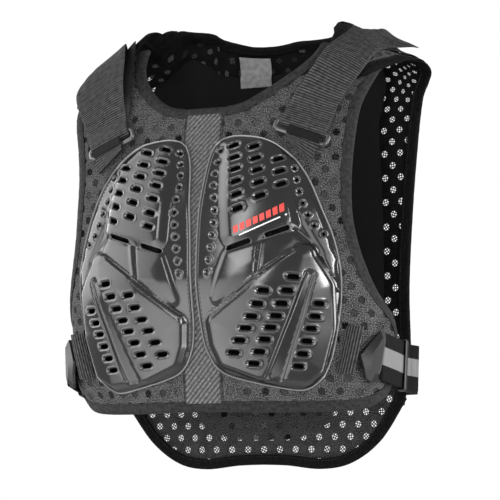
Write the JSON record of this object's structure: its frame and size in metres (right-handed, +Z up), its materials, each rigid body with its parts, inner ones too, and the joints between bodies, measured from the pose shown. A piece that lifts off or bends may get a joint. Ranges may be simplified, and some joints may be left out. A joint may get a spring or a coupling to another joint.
{
  "type": "body protector vest",
  "caption": "Sleeveless body protector vest: padded mesh front and back with bound edges, vented moulded chest plates, ribbed centre strip, adjustable shoulder straps and buckled side straps.",
  "frame": {"origin": "Between the shoulders, level with the neck side of the shoulder ridge, where the vest sits on a wearer.", "axes": "+Z up, the wearer faces -Y, +X is the wearer's left."},
  "size_m": [0.4109, 0.2245, 0.5025],
  "materials": {
    "mesh_cloth": "padded black mesh with staggered round holes",
    "binding_tape": "matt black folded tape",
    "ribbed_strip": "grey cloth with slanted ribs",
    "plate_plastic": "satin to glossy dark grey moulded plastic",
    "webbing": "dark grey ribbed webbing",
    "buckle_plastic": "satin grey plastic",
    "ring_plastic": "glossy black loop",
    "lining_cloth": "smooth black lining",
    "label_cloth": "plain grey woven label"
  },
  "bodies": {
    "root": {"front_panel_left": "mesh_cloth", "front_panel_right": "mesh_cloth", "back_panel": "mesh_cloth", "centre_strip": "ribbed_strip", "neck_binding": "binding_tape", "arm_binding_left": "binding_tape", "arm_binding_right": "binding_tape", "hem_binding": "binding_tape", "back_neck_binding": "binding_tape", "back_side_binding_left": "binding_tape", "back_side_binding_right": "binding_tape", "tail_binding": "binding_tape", "back_lining": "lining_cloth", "back_plate": "plate_plastic", "chest_plate_left": "plate_plastic", "shoulder_strap_left": "webbing", "shoulder_ring_left": "ring_plastic", "ring_tab_left": "webbing", "side_tab_left": "webbing", "side_buckle_left": "buckle_plastic", "side_strap_left": "webbing", "side_keeper_left": "buckle_plastic", "chest_plate_right": "plate_plastic", "shoulder_strap_right": "webbing", "shoulder_ring_right": "ring_plastic", "ring_tab_right": "webbing", "side_tab_right": "webbing", "side_buckle_right": "buckle_plastic", "side_strap_right": "webbing", "side_keeper_right": "buckle_plastic", "neck_label": "label_cloth"}
  },
  "joints": []
}
